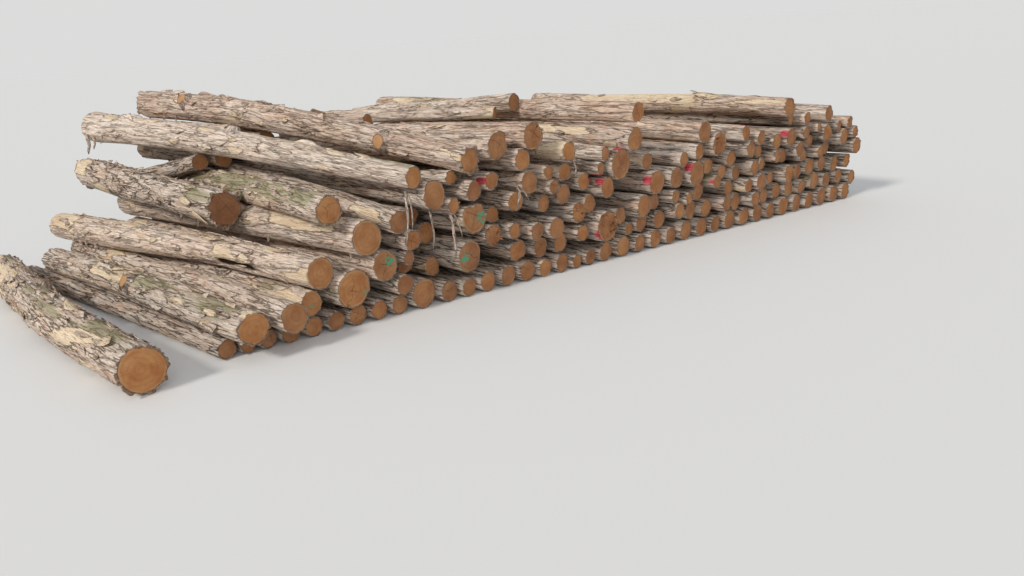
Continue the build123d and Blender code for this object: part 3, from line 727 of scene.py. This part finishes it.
def tube(count, steps):
    """Quads between neighbouring rings of a tube, facing outward."""
    start, ring = np.arange(count - 1)[:, None] * steps, np.arange(steps)
    a, b = start + ring, start + (ring + 1) % steps
    return np.stack([a, b, b + steps, a + steps], axis=2).reshape(-1, 4)


def fan(start, steps, middle, way):
    """Triangles from a ring to a middle point: way 1 closes a tube's far end, -1 its near one."""
    ring = np.arange(steps)
    a, b = start + ring, start + (ring + 1) % steps
    return np.stack([np.full(steps, middle), *((a, b) if way > 0 else (b, a))], axis=1)


def plate(top, under):
    """Points and faces of a closed thin plate between two like grids of points."""
    half = top.shape[0] * top.shape[1]
    spot = np.arange(half).reshape(top.shape[:2])
    a, b, c, d = spot[:-1, :-1], spot[1:, :-1], spot[1:, 1:], spot[:-1, 1:]
    upper = np.stack([a, d, c, b], axis=-1).reshape(-1, 4)
    lower = np.stack([a, b, c, d], axis=-1).reshape(-1, 4) + half
    rim = np.concatenate([spot[0, :-1], spot[:-1, -1], spot[-1, :0:-1], spot[:0:-1, 0]])
    after = np.roll(rim, -1)
    wall = np.stack([rim, rim + half, after + half, after], axis=1)
    points = np.concatenate([top.reshape(-1, 3), under.reshape(-1, 3)])
    return points, (np.concatenate([upper, lower, wall]), np.zeros((0, 3), int))


def joined(name, pieces):
    """One mesh object from closed pieces, with the values its materials read.

    A face is sawn wood where two opposite corners are, and bark elsewhere.
    """
    points, faces, values = zip(*pieces)
    before = np.cumsum([0] + [len(spots) for spots in points])
    points = np.concatenate(points)
    quads = np.concatenate([four + start for (four, three), start in zip(faces, before)])
    tris = np.concatenate([three + start for (four, three), start in zip(faces, before)])
    values = {label: np.concatenate([own[label] for own in values]) for label in values[0]}
    mesh = bpy.data.meshes.new(name)
    mesh.vertices.add(len(points))
    mesh.vertices.foreach_set("co", points.ravel())
    loops = np.concatenate([quads.ravel(), tris.ravel()])
    mesh.loops.add(len(loops))
    mesh.loops.foreach_set("vertex_index", loops.astype(np.int32))
    sizes = np.concatenate([np.full(len(quads), 4), np.full(len(tris), 3)])
    starts = np.concatenate([[0], np.cumsum(sizes)[:-1]])
    mesh.polygons.add(len(sizes))
    mesh.polygons.foreach_set("loop_start", starts.astype(np.int32))
    mesh.update(calc_edges=True)
    mesh.validate()
    for label, data in values.items():
        kind, field = ("FLOAT_VECTOR", "vector") if data.ndim > 1 else ("FLOAT", "value")
        mesh.attributes.new(label, kind, "POINT").data.foreach_set(field, data.ravel())
    sawn = values["sawn"] > WOOD
    wood = [sawn[quads[:, 0]] & sawn[quads[:, 2]], sawn[tris[:, 1]] & sawn[tris[:, 2]]]
    mesh.polygons.foreach_set("material_index", np.concatenate(wood).astype(np.int32))
    mesh.polygons.foreach_set("use_smooth", np.ones(len(sizes), bool))
    obj = bpy.data.objects.new(name, mesh)
    bpy.context.scene.collection.objects.link(obj)
    return obj


# Colours of bark, bare wood, sawn ends and paint
TAN = (0.67, 0.50, 0.39)
CREAM = (0.86, 0.73, 0.62)
RUST = (0.56, 0.325, 0.20)
DUSTY = (0.55, 0.50, 0.43)
# Painted shade: the darker grey of logs inside the heap and low on its face
SHADE_GREY = (0.33, 0.30, 0.26)
BLEACHED = (0.96, 0.88, 0.77)
PALE_FIBRE = (0.89, 0.81, 0.70)
DARK_FIBRE = (0.34, 0.22, 0.15)
ROSY = (1.0, 0.90, 0.84)
# Dark of the furrows: partly the inner bark's colour, partly painted shade
FURROW_BROWN = (0.075, 0.042, 0.026)
MOSS = (0.25, 0.25, 0.105)
BARE_WOOD = ((0.62, 0.45, 0.29), (0.85, 0.73, 0.55))
BARE_STAIN = (0.55, 0.37, 0.22)
BARE_SPLIT = (0.30, 0.18, 0.10)
BARK_EDGE = (0.20, 0.11, 0.06)
# Painted shade: the near black inside hollows
HOLLOW_SHADE = (0.03, 0.018, 0.012)
BARK_INSIDE = ((0.17, 0.092, 0.056), (0.44, 0.275, 0.17))
RED_PAINT = (0.60, 0.035, 0.075)
WARM_HEART = ((0.43, 0.172, 0.060), (0.57, 0.285, 0.115))
DARK_HEART = ((0.24, 0.108, 0.055), (0.39, 0.195, 0.098))
RING = (0.20, 0.095, 0.045)
WIDE_RING = (0.17, 0.08, 0.04)
SAPWOOD = (0.58, 0.37, 0.20)
CRACK = (0.035, 0.018, 0.010)
SAW_LINE = (0.17, 0.083, 0.042)
GREEN_PAINT = (0.035, 0.36, 0.22)
FLOOR = (0.78, 0.775, 0.765)
SURROUNDINGS = (0.716, 0.716, 0.711, 1.0)   # as the lit floor looks, so that no horizon shows
SKYLIGHT = (0.93, 0.96, 1.0, 1.0)

DULL = 0.12                     # gloss of wood and bark
LOG_STEPS = (1.37, 0.71, 2.13)  # how far apart two logs' patterns lie
CHANCE, OTHER_CHANCE = 0.6180339, 0.7548777     # spread the logs' numbers over 0 to 1
QUARTERS = 0.6366               # quarter turns in a radian


class Nodes:
    """Short ways to add shader nodes to one material."""

    def __init__(self, name):
        self.material = bpy.data.materials.new(name)
        self.material.use_nodes = True
        self.tree = self.material.node_tree
        self.shader = self.tree.nodes["Principled BSDF"]

    def add(self, kind, **settings):
        """A new node of a kind, with its settings."""
        node = self.tree.nodes.new(kind)
        for key, value in settings.items():
            setattr(node, key, value)
        return node

    def put(self, socket, value):
        """Set a socket to a constant, or link it from another one."""
        if isinstance(value, bpy.types.NodeSocket):
            self.tree.links.new(value, socket)
        else:
            socket.default_value = value

    def value(self, label):
        """A number that joined() keeps at each point."""
        return self.add("ShaderNodeAttribute", attribute_name=label).outputs["Fac"]

    def vector(self, label):
        """A vector that joined() keeps at each point."""
        return self.add("ShaderNodeAttribute", attribute_name=label).outputs["Vector"]

    def math(self, operation, a, b=0.0, clamp=False):
        """One operation on two numbers, kept between 0 and 1 if clamped."""
        node = self.add("ShaderNodeMath", operation=operation, use_clamp=clamp)
        self.put(node.inputs[0], a)
        self.put(node.inputs[1], b)
        return node.outputs[0]

    def plus(self, a, b, clamp=False):
        return self.math("ADD", a, b, clamp)

    def minus(self, a, b):
        return self.math("SUBTRACT", a, b)

    def times(self, a, b):
        return self.math("MULTIPLY", a, b)

    def fraction(self, a, b):
        """The part of a times b after the point."""
        return self.math("FRACT", self.times(a, b))

    def swing(self, a, reach):
        """A number from 0 to 1, spread about 0 over the reach."""
        return self.times(self.minus(a, 0.5), reach)

    def vein(self, a, low, high):
        """Rises on both sides of the lines where a noise crosses its middle value."""
        return self.ramp(self.math("ABSOLUTE", self.minus(a, 0.5)), low, high)

    def vmath(self, operation, a, b):
        """One operation on two vectors."""
        node = self.add("ShaderNodeVectorMath", operation=operation)
        self.put(node.inputs[0], a)
        self.put(node.inputs[1], b)
        return node.outputs[0]

    def joint(self, *parts):
        """A vector from its parts."""
        node = self.add("ShaderNodeCombineXYZ")
        for socket, part in zip(node.inputs, parts):
            self.put(socket, part)
        return node.outputs[0]

    def noise(self, vector, scale, detail=4.0, rough=0.55, warp=0.0):
        """Noise from 0 to 1, finer with the scale."""
        node = self.add("ShaderNodeTexNoise")
        self.put(node.inputs["Vector"], vector)
        node.inputs["Scale"].default_value = scale
        node.inputs["Detail"].default_value = detail
        node.inputs["Roughness"].default_value = rough
        node.inputs["Distortion"].default_value = warp
        return node.outputs["Fac"]

    def ramp(self, factor, low, high):
        """Straight rise from 0 at low to 1 at high."""
        node = self.add("ShaderNodeMapRange")
        node.inputs["From Min"].default_value = low
        node.inputs["From Max"].default_value = high
        self.put(node.inputs["Value"], factor)
        return node.outputs["Result"]

    def mix(self, factor, a, b, blend="MIX"):
        """From colour a at 0 to colour b at 1."""
        node = self.add("ShaderNodeMix", data_type="RGBA", blend_type=blend)
        self.put(node.inputs["Factor"], factor)
        for socket, value in ((node.inputs[6], a), (node.inputs[7], b)):
            self.put(socket, value if isinstance(value, bpy.types.NodeSocket) else (*value, 1.0))
        return node.outputs[2]

    def coat(self, base, where, share, colour):
        """Covers up to a share of the base with a colour, as far as where goes."""
        return self.mix(self.times(where, share), base, colour)

    def finish(self, base, rough, relief, distance, strength):
        """Sets the dull shader's colour and roughness, and its bumps from the relief."""
        bump = self.add("ShaderNodeBump")
        bump.inputs["Strength"].default_value = strength
        bump.inputs["Distance"].default_value = distance
        self.put(bump.inputs["Height"], relief)
        self.put(self.shader.inputs["Normal"], bump.outputs["Normal"])
        self.put(self.shader.inputs["Base Color"], base)
        self.shader.inputs["Roughness"].default_value = rough
        self.shader.inputs["Specular IOR Level"].default_value = DULL
        return self.material


def seeded(n, vector):
    """The vector moved by each log's own number, so that no two logs match."""
    number = n.value("number")
    return n.vmath("ADD", vector, n.joint(*(n.times(number, step) for step in LOG_STEPS)))


def bark_material():
    """Bark, bare wood, moss, hollows and red paint.

    Narrow dark furrows run lengthwise where two stretched noises cross their
    middle values; their dark is partly the inner bark's colour and partly painted
    shade.  The plates between them are cream, tan or grey, and on logs inside the
    heap and low on its face a darker grey with fewer pale fibres, which is painted
    shade.  The near black of hollows is painted shade.  Where the
    bark is gone the wood is pale with fine lengthwise threads.
    """
    n = Nodes("bark")
    grain = seeded(n, n.vector("grain"))
    fibre = n.vmath("MULTIPLY", grain, (1.0, 1.0, 0.11))
    strand = n.vmath("MULTIPLY", grain, (1.0, 1.0, 0.04))
    slow = n.vmath("MULTIPLY", grain, (1.0, 1.0, 0.30))
    grey_and_shade = n.value("grey")
    wide = n.noise(fibre, 27.0, 3.0, 0.6, 0.35)
    tight = n.noise(fibre, 68.0, 3.0, 0.6, 0.25)
    fine = n.noise(fibre, 160.0, 4.0, 0.65, 0.2)
    threads = n.noise(strand, 300.0, 2.0, 0.6)
    # Furrows: 0 at their bottom, 1 on the plates, deeper on grey bark; their dark is partly the inner
    # bark's colour and partly painted shade in the creases
    big = n.vein(wide, 0.0, 0.045)
    small = n.vein(tight, -0.012, 0.045)
    deep = n.plus(0.66, n.times(grey_and_shade, 0.48), True)
    big = n.minus(1.0, n.times(n.minus(1.0, big), deep))
    plates = n.times(big, n.plus(0.6, n.times(small, 0.4)))
    # The plates' colours
    patches = n.noise(slow, 7.0, 3.0, 0.55, 0.5)
    rusty = n.noise(slow, 13.0, 4.0, 0.6, 0.8)
    # Painted shade: a grey of 0.75, given to the logs inside the heap and low on its face, turns their
    # grey patches a darker grey and dims their pale fibres
    inner = n.ramp(grey_and_shade, 0.70, 0.75)
    base = n.mix(n.ramp(patches, 0.38, 0.62), TAN, CREAM)
    base = n.coat(base, n.ramp(rusty, 0.53, 0.65), 0.60, RUST)
    grey = n.times(grey_and_shade, n.ramp(rusty, 0.72, 0.36))
    base = n.coat(base, grey, 0.85, n.mix(inner, DUSTY, SHADE_GREY))
    base = n.coat(base, n.ramp(grey_and_shade, 0.20, 0.05), 0.45, BLEACHED)
    # Pale fibres, fewer on the logs with painted shade
    light = n.times(n.ramp(fine, 0.48, 0.61), n.minus(0.62, n.times(inner, 0.32)))
    base = n.mix(light, base, PALE_FIBRE)
    base = n.coat(base, n.ramp(fine, 0.45, 0.31), 0.65, DARK_FIBRE)
    rosy = n.times(n.fraction(n.value("number"), OTHER_CHANCE), n.minus(1.0, grey_and_shade))
    base = n.mix(rosy, base, ROSY, "MULTIPLY")
    # Dark furrow bottoms: partly the inner bark's colour, partly painted shade
    base = n.mix(plates, FURROW_BROWN, base)
    jitter = n.swing(fine, 1.8)
    base = n.coat(base, n.ramp(n.plus(n.value("moss"), jitter), 0.35, 0.95), 0.60, MOSS)
    # Bare wood, with a dark edge where the bark has torn
    wood = n.mix(n.ramp(threads, 0.36, 0.62), *BARE_WOOD)
    wood = n.coat(wood, n.ramp(patches, 0.50, 0.7), 0.6, BARE_STAIN)
    wood = n.mix(n.vein(n.noise(strand, 90.0, 2.0, 0.5), 0.0, 0.022), BARE_SPLIT, wood)
    torn = n.plus(n.plus(n.value("bare"), n.swing(wide, 1.6)), n.swing(fine, 1.3))
    gone = n.ramp(torn, 0.44, 0.60)
    base = n.mix(gone, base, wood)
    edge = n.times(n.ramp(torn, 0.36, 0.46), n.ramp(torn, 0.60, 0.50))
    base = n.coat(base, edge, 0.5, BARK_EDGE)
    # Hollows painted near black, which is painted shade, the inside of torn bark, and paint
    hollow = n.ramp(n.plus(n.value("hole"), n.times(jitter, 0.4)), 0.4, 0.7)
    base = n.mix(hollow, base, HOLLOW_SHADE)
    base = n.coat(base, n.ramp(n.value("sawn"), 0.1, 0.45), 0.85, n.mix(fine, *BARK_INSIDE))
    red = n.ramp(n.plus(n.value("red"), n.times(jitter, 0.8)), 0.45, 0.75)
    base = n.coat(base, red, 0.88, RED_PAINT)
    relief = n.plus(n.times(plates, 0.6), n.times(fine, 0.5))
    relief = n.times(relief, n.minus(1.0, n.times(gone, 0.85)))
    relief = n.plus(relief, n.times(threads, 0.14))
    relief = n.minus(relief, n.times(gone, 0.35))
    return n.finish(base, 0.93, relief, 0.014, 0.9)


def end_material():
    """Sawn end grain: rings about an uneven heart, saw lines, drying cracks.

    Rings and bands are sines of the distance from the heart, made uneven by
    noise; cracks lie at four turns round it and end at different distances.
    """
    n = Nodes("sawn_end")
    grain = n.vector("grain")
    own = seeded(n, grain)
    number = n.value("number")
    chance = n.fraction(number, CHANCE)
    other = n.fraction(number, OTHER_CHANCE)
    heart = n.joint(n.swing(chance, 0.035), n.swing(other, 0.035))
    off = n.vmath("MULTIPLY", n.vmath("SUBTRACT", grain, heart), (1.0, 1.0, 0.0))
    far = n.add("ShaderNodeVectorMath", operation="LENGTH")
    n.put(far.inputs[0], off)
    wobble = n.noise(own, 13.0, 3.0, 0.5)
    radius = n.plus(far.outputs["Value"], n.times(wobble, 0.016))
    rings = n.ramp(n.math("SINE", n.times(radius, 900.0)), -1.0, 1.0)
    bands = n.ramp(n.math("SINE", n.times(radius, 210.0)), -0.2, 1.0)
    tone = n.ramp(n.noise(own, 9.0, 4.0, 0.6), 0.35, 0.68)
    # Darker sawn ends where the brown value is high; on the logs inside the heap and low on its face this
    # darkness is painted shade
    shade = n.plus(n.value("brown"), n.swing(chance, 0.6), True)
    base = n.mix(shade, n.mix(tone, *WARM_HEART), n.mix(tone, *DARK_HEART))
    base = n.coat(base, rings, 0.15, RING)
    base = n.coat(base, bands, 0.14, WIDE_RING)
    reach = n.value("reach")
    sap = n.ramp(n.plus(reach, n.times(wobble, 0.12)), 0.88, 0.97)
    base = n.coat(base, sap, 0.45, SAPWOOD)
    # Cracks: a fine line in each quarter turn, as wide at the rim as near the heart
    parts = n.add("ShaderNodeSeparateXYZ")
    n.put(parts.inputs[0], off)
    turn = n.math("ARCTAN2", parts.outputs[1], parts.outputs[0])
    bend = n.times(n.noise(own, 14.0, 2.0, 0.5), 1.1)
    quarters = n.plus(n.times(turn, QUARTERS), bend)
    quarters = n.plus(quarters, n.times(number, 0.37))
    which = n.fraction(n.math("FLOOR", quarters), 0.417)
    aside = n.math("ABSOLUTE", n.minus(n.math("FRACT", quarters), 0.5))
    crack = n.ramp(n.times(aside, far.outputs["Value"]), 0.0010, 0.0003)
    crack = n.times(crack, n.math("LESS_THAN", reach, n.plus(0.25, which)))
    faint = n.times(n.math("GREATER_THAN", other, 0.8), 0.7)
    crack = n.times(crack, n.math("MAXIMUM", n.value("cracked"), faint))
    base = n.mix(crack, base, CRACK)
    saw = n.noise(n.vmath("MULTIPLY", own, (6.0, 260.0, 1.0)), 1.0, 2.0, 0.5)
    base = n.coat(base, n.ramp(saw, 0.5, 0.8), 0.25, SAW_LINE)
    drip = n.swing(n.noise(own, 62.0, 2.0, 0.6), 3.2)
    dab = n.ramp(n.plus(n.value("green"), drip), 0.60, 0.72)
    dab = n.times(dab, n.ramp(n.value("green"), 0.05, 0.3))
    base = n.coat(base, dab, 0.85, GREEN_PAINT)
    relief = n.plus(saw, n.times(rings, 0.4))
    relief = n.minus(relief, n.times(crack, 2.0))
    return n.finish(base, 0.88, relief, 0.0014, 0.7)


def floor_material():
    """One pale dull colour."""
    n = Nodes("floor")
    n.shader.inputs["Base Color"].default_value = (*FLOOR, 1.0)
    n.shader.inputs["Roughness"].default_value = 0.9
    return n.material


BARK_SHADE = bark_material()
END_SHADE = end_material()


def nearest(skins, x, z, rim=False):
    """The log at the face whose end's middle, or lower rim, lies nearest to a place."""
    best = None
    for skin in skins:
        front = skin.middle[0] - np.array(FACE_ORIGIN)
        out = math.hypot(front[0] - x, front[2] - z)
        off = abs(out - skin.mean) + max(0.0, z - front[2]) if rim else out
        if front[1] < FACE_DEPTH and (best is None or off < best[0]):
            best = (off, skin)
    return best[1]


nodes = {}
everyone = []
for node in sorted(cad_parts):
    logs = enumerate(islands(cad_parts[node]), len(everyone) + 1)
    nodes[node] = [Skin(log, DETAIL.get(node, PLAIN), seed, node) for seed, log in logs]
    everyone.extend(nodes[node])

# The extra pieces of each log, and what is special about its front end
extras = {skin.seed: skin.stub_pieces() for skin in everyone}
for strip in STRIPS:
    skin = nearest(everyone, strip[0], strip[1], rim=True)
    extras[skin.seed].append(skin.face_strip(*strip))
for node, strips in HANGING.items():
    skin = nodes[node][0]
    extras[skin.seed].extend([skin.side_strip(*strip) for strip in strips])
for x, z in CRACKED:
    nearest(everyone, x, z).cracked = 1.0
for x, z, turn, half, depth in SEAMS:
    nearest(everyone, x, z).seam(turn, half, depth)
for x, z, count in BROKEN:
    skin = nearest(everyone, x, z)
    skin.broken = BREAK
    extras[skin.seed].extend(skin.splinters(count))

for node, skins in nodes.items():
    pieces = []
    for skin in skins:
        pieces.append(skin.build())
        pieces.extend(skin.flakes(FLAPS.get(node, []), CURLS.get(node, 0)))
        pieces.extend(extras[skin.seed])
    obj = joined(node + "_bark", pieces)
    obj.data.materials.append(BARK_SHADE)
    obj.data.materials.append(END_SHADE)
    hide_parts(node)
    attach(obj, "root")

# Camera at the photograph's place: eye height, tilted down and slightly rolled
EYE = FACE_ORIGIN + Vector((-0.817, -4.199, 1.65))
HEADING = math.radians(28.94)   # turned from Y towards X
DOWN = math.radians(19.0)
ROLL = math.radians(4.5)
PHOTO_WIDTH = 1024.0            # pixels
FOCAL = 770.0                   # focal length in those pixels
SENSOR = 36.0                   # millimetres

# Soft lamps: direction towards the lamp, strength, spread in degrees, colour
LAMPS = {
    "key": ((-0.80, -0.12, 0.62), 1.75, 10.0, (1.0, 0.97, 0.92)),
    "fill": ((-0.10, -0.90, 0.45), 0.65, 40.0, (1.0, 1.0, 1.0)),
}
SKY_STRENGTH = 0.50
FLOOR_REACH = 90                # metres from the middle to the floor's sides


def look():
    """Puts the camera at the eye, looking along the heading and down.

    Its right and up are turned about the line of sight by the roll.
    """
    level = Vector((math.sin(HEADING), math.cos(HEADING), 0.0))
    right = Vector((math.cos(HEADING), -math.sin(HEADING), 0.0))
    forward = level * math.cos(DOWN) - Vector((0, 0, math.sin(DOWN)))
    up = level * math.sin(DOWN) + Vector((0, 0, math.cos(DOWN)))
    image_right = right * math.cos(ROLL) - up * math.sin(ROLL)
    image_up = right * math.sin(ROLL) + up * math.cos(ROLL)
    turn = Matrix((image_right, image_up, -forward)).transposed()
    data = bpy.data.cameras.new("camera")
    data.sensor_width = SENSOR
    data.lens = FOCAL * SENSOR / PHOTO_WIDTH
    data.clip_end = 200.0
    camera = bpy.data.objects.new("camera", data)
    camera.matrix_world = Matrix.Translation(EYE) @ turn.to_4x4()
    bpy.context.scene.collection.objects.link(camera)
    bpy.context.scene.camera = camera


def lamp(name, way, strength, spread, colour):
    """A far soft lamp that shines from the direction given by way."""
    data = bpy.data.lights.new(name, "SUN")
    data.energy = strength
    data.angle = math.radians(spread)
    data.color = colour
    obj = bpy.data.objects.new(name, data)
    obj.rotation_euler = Vector(way).to_track_quat("Z", "Y").to_euler()
    obj.location = Vector(way) * 10.0
    bpy.context.scene.collection.objects.link(obj)


def studio():
    """Pale floor, even pale surroundings and the soft lamps.

    The world gives the skylight, but the camera and glossy surfaces see the
    surroundings' plain colour.
    """
    mesh = bpy.data.meshes.new("floor")
    far = FLOOR_REACH
    mesh.from_pydata([(-far, -far, 0), (far, -far, 0), (far, far, 0), (-far, far, 0)], [], [(0, 1, 2, 3)])
    floor = bpy.data.objects.new("floor", mesh)
    bpy.context.scene.collection.objects.link(floor)
    floor.data.materials.append(floor_material())
    world = bpy.data.worlds.new("world")
    world.use_nodes = True
    tree = world.node_tree
    light = tree.nodes["Background"]
    light.inputs["Color"].default_value = SKYLIGHT
    light.inputs["Strength"].default_value = SKY_STRENGTH
    seen = tree.nodes.new("ShaderNodeBackground")
    seen.inputs["Color"].default_value = SURROUNDINGS
    path = tree.nodes.new("ShaderNodeLightPath")
    either = tree.nodes.new("ShaderNodeMath")
    either.operation = "MAXIMUM"
    tree.links.new(path.outputs["Is Camera Ray"], either.inputs[0])
    tree.links.new(path.outputs["Is Glossy Ray"], either.inputs[1])
    mixed = tree.nodes.new("ShaderNodeMixShader")
    tree.links.new(either.outputs[0], mixed.inputs["Fac"])
    tree.links.new(light.outputs[0], mixed.inputs[1])
    tree.links.new(seen.outputs[0], mixed.inputs[2])
    tree.links.new(mixed.outputs[0], tree.nodes["World Output"].inputs["Surface"])
    bpy.context.scene.world = world
    for name, settings in LAMPS.items():
        lamp(name, *settings)


look()
studio()
bpy.context.scene.view_settings.view_transform = "Standard"
